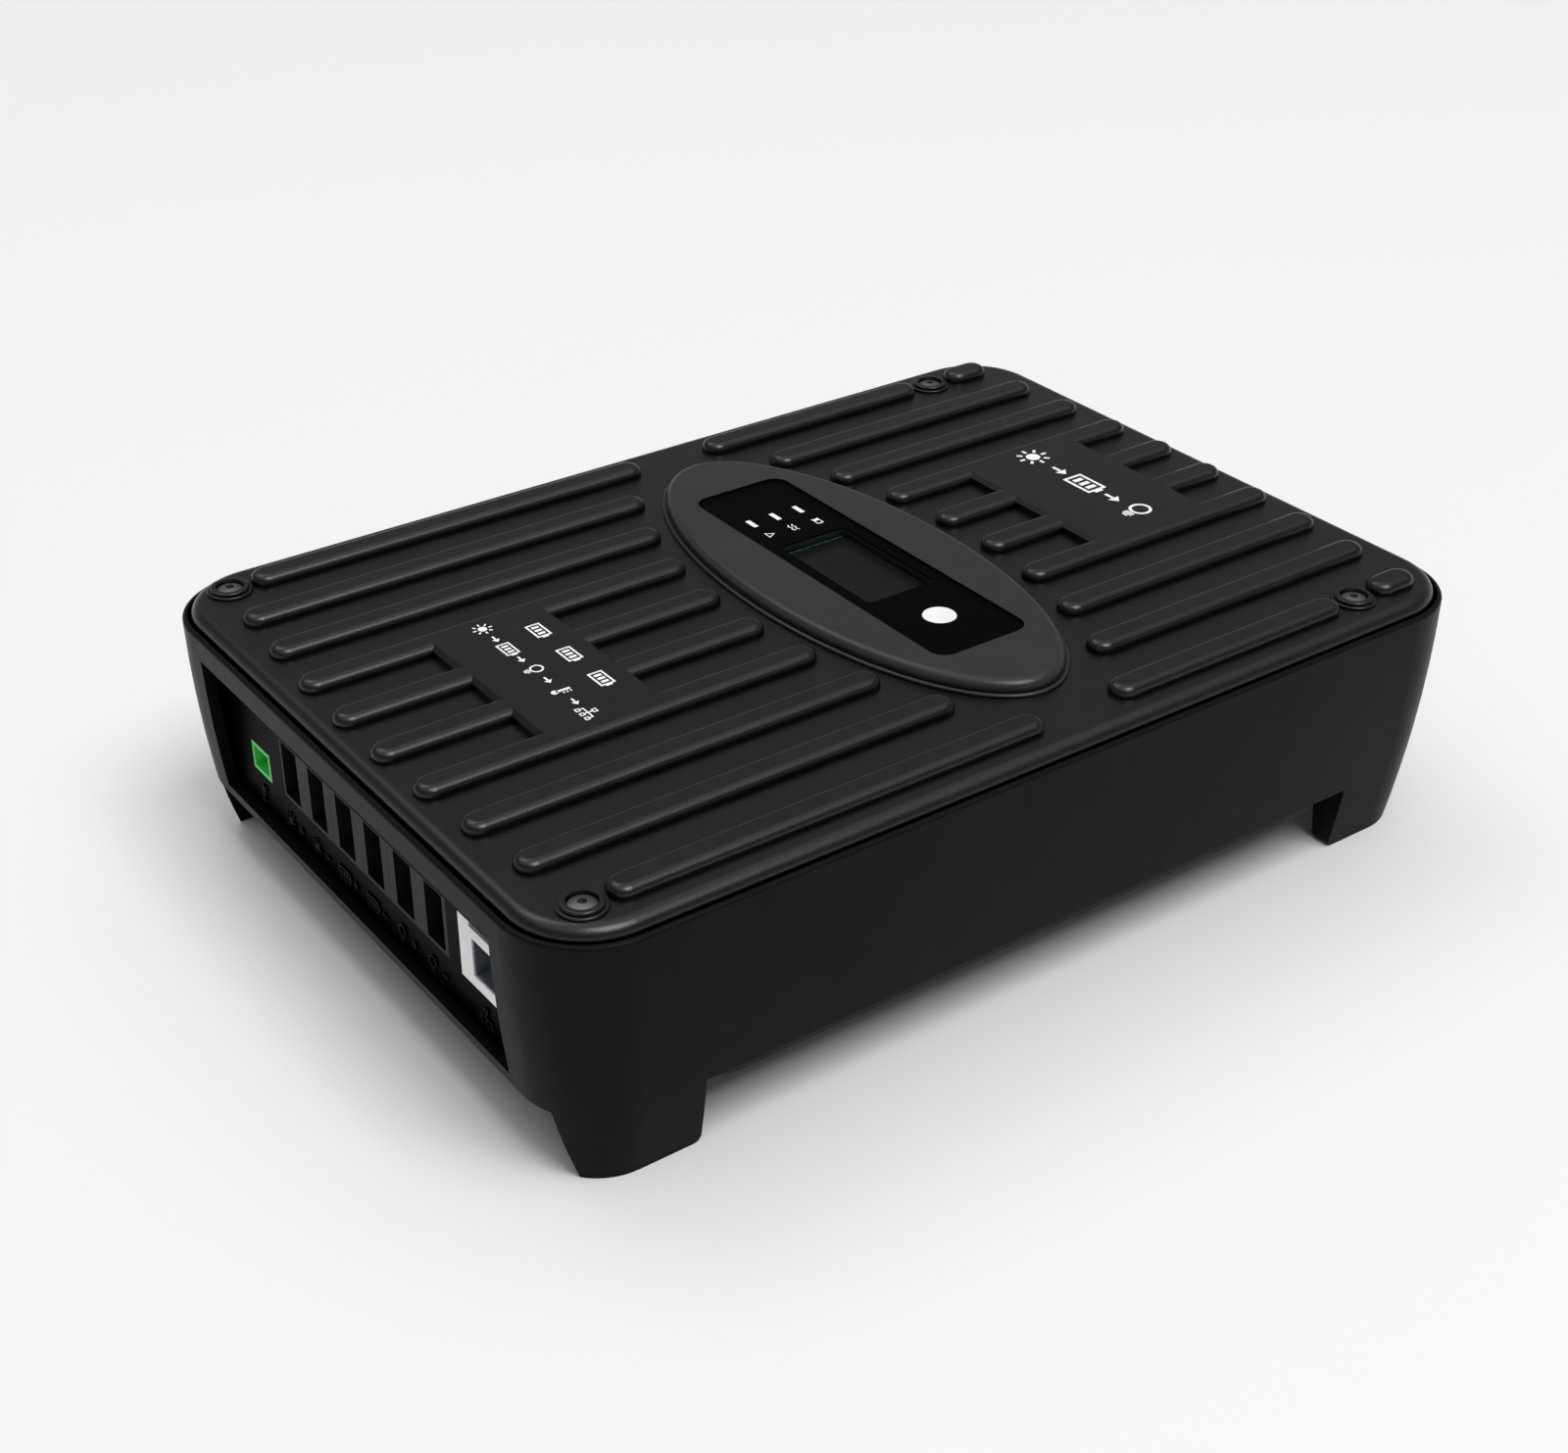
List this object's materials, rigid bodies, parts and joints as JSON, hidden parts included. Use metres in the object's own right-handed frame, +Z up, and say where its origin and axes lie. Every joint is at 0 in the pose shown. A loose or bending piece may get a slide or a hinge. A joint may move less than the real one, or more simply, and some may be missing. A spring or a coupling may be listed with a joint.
{
  "type": "charge controller",
  "caption": "Black solar charge controller on four feet with a ribbed lid, oval display bezel and screw-clamp terminals at one end.",
  "frame": {"origin": "centre of the plane under the four feet", "axes": "+Z up, +X the long way with the terminals at the -X end, -Y the long side on the right when facing the terminals"},
  "size_m": [0.238, 0.17, 0.0629],
  "materials": {
    "housing_plastic": "fine moulded texture, near black",
    "bezel_plastic": "fine moulded texture, very dark grey",
    "overlay_film": "black gloss film",
    "lcd": "dark display glass, unlit",
    "white_plastic": "satin white",
    "green_plastic": "bright green terminal plastic",
    "dark_metal": "blackened steel screws",
    "steel": "zinc plated steel",
    "brass": "tinned brass",
    "gold": "gold flashed contacts",
    "heat_sink": "black anodised aluminium",
    "bare_aluminium": "mill finish",
    "circuit_board": "green solder mask",
    "component_black": "moulded epoxy",
    "ferrite": "coated powder core",
    "copper": "enamelled copper wire",
    "can_sleeve": "shrink sleeve",
    "thermal_sheet": "grey silicone pad",
    "ribbon_grey": "grey flat cable",
    "fuse_plastic": "amber fuse case",
    "led_yellow": "LED packages",
    "liner_grey": "dark blue-grey insulator"
  },
  "bodies": {
    "housing": {"base_plate": "heat_sink", "base_screws": "steel", "battery_capacitor_1": "can_sleeve", "battery_capacitor_2": "can_sleeve", "battery_fuse": "fuse_plastic", "board_screws": "steel", "board_standoffs": "brass", "clamp_bar_screws": "steel", "comms_contacts": "gold", "comms_jack": "white_plastic", "comms_liner": "liner_grey", "control_chip": "component_black", "current_shunt": "copper", "display_bezel": "bezel_plastic", "display_board": "circuit_board", "display_board_screws": "steel", "display_overlay": "overlay_film", "display_ribbon": "ribbon_grey", "end_panel": "housing_plastic", "inductor_core": "ferrite", "inductor_winding": "copper", "lcd_frame": "white_plastic", "lcd_glass": "lcd", "lid_screws": "dark_metal", "light_pipes": "white_plastic", "main_board": "circuit_board", "power_transistor_1": "component_black", "power_transistor_2": "component_black", "power_transistor_3": "component_black", "power_transistor_4": "component_black", "pv_capacitor_1": "can_sleeve", "pv_capacitor_2": "can_sleeve", "ribbon_header_display": "component_black", "ribbon_header_main": "component_black", "shroud": "housing_plastic", "status_leds": "led_yellow", "tact_switch": "component_black", "temp_socket": "green_plastic", "temp_socket_pins": "gold", "terminal_block_battery": "component_black", "terminal_block_load": "component_black", "terminal_block_pv": "component_black", "terminal_contacts": "brass", "thermal_pad": "thermal_sheet", "top_lid": "housing_plastic", "transistor_clamp_bar": "bare_aluminium"},
    "cage_1": {"clamp_cage_1": "brass"},
    "cage_2": {"clamp_cage_2": "brass"},
    "cage_3": {"clamp_cage_3": "brass"},
    "cage_4": {"clamp_cage_4": "brass"},
    "cage_5": {"clamp_cage_5": "brass"},
    "cage_6": {"clamp_cage_6": "brass"},
    "button": {"push_button": "white_plastic", "switch_plunger": "component_black"},
    "screw_1": {"terminal_screw_1": "steel"},
    "screw_2": {"terminal_screw_2": "steel"},
    "screw_3": {"terminal_screw_3": "steel"},
    "screw_4": {"terminal_screw_4": "steel"},
    "screw_5": {"terminal_screw_5": "steel"},
    "screw_6": {"terminal_screw_6": "steel"}
  },
  "joints": [
    {"name": "button_press", "type": "slide", "parent": "housing", "child": "button", "axis": [0, 0, -1], "range_m": [0, 0.0005], "stiffness_N_per_m": 1500, "springref_m": -0.0003},
    {"name": "screw_1_turn", "type": "hinge", "parent": "housing", "child": "screw_1", "pos_m": [-0.1045, 0.033, 0.0445], "axis": [0, 0, -1], "range_deg": [0, 2161]},
    {"name": "cage_1_rise", "type": "slide", "parent": "housing", "child": "cage_1", "axis": [0, 0, 1], "range_m": [0, 0.0042]},
    {"name": "screw_2_turn", "type": "hinge", "parent": "housing", "child": "screw_2", "pos_m": [-0.1045, 0.0204, 0.0445], "axis": [0, 0, -1], "range_deg": [0, 2161]},
    {"name": "cage_2_rise", "type": "slide", "parent": "housing", "child": "cage_2", "axis": [0, 0, 1], "range_m": [0, 0.0042]},
    {"name": "screw_3_turn", "type": "hinge", "parent": "housing", "child": "screw_3", "pos_m": [-0.1045, 0.0078, 0.0445], "axis": [0, 0, -1], "range_deg": [0, 2161]},
    {"name": "cage_3_rise", "type": "slide", "parent": "housing", "child": "cage_3", "axis": [0, 0, 1], "range_m": [0, 0.0042]},
    {"name": "screw_4_turn", "type": "hinge", "parent": "housing", "child": "screw_4", "pos_m": [-0.1045, -0.0048, 0.0445], "axis": [0, 0, -1], "range_deg": [0, 2161]},
    {"name": "cage_4_rise", "type": "slide", "parent": "housing", "child": "cage_4", "axis": [0, 0, 1], "range_m": [0, 0.0042]},
    {"name": "screw_5_turn", "type": "hinge", "parent": "housing", "child": "screw_5", "pos_m": [-0.1045, -0.0174, 0.0445], "axis": [0, 0, -1], "range_deg": [0, 2161]},
    {"name": "cage_5_rise", "type": "slide", "parent": "housing", "child": "cage_5", "axis": [0, 0, 1], "range_m": [0, 0.0042]},
    {"name": "screw_6_turn", "type": "hinge", "parent": "housing", "child": "screw_6", "pos_m": [-0.1045, -0.03, 0.0445], "axis": [0, 0, -1], "range_deg": [0, 2161]},
    {"name": "cage_6_rise", "type": "slide", "parent": "housing", "child": "cage_6", "axis": [0, 0, 1], "range_m": [0, 0.0042]}
  ],
  "couplings": [
    {"joint": "screw_1_turn", "follows": "cage_1_rise", "rad_per_m": 8976},
    {"joint": "screw_2_turn", "follows": "cage_2_rise", "rad_per_m": 8976},
    {"joint": "screw_3_turn", "follows": "cage_3_rise", "rad_per_m": 8976},
    {"joint": "screw_4_turn", "follows": "cage_4_rise", "rad_per_m": 8976},
    {"joint": "screw_5_turn", "follows": "cage_5_rise", "rad_per_m": 8976},
    {"joint": "screw_6_turn", "follows": "cage_6_rise", "rad_per_m": 8976}
  ]
}
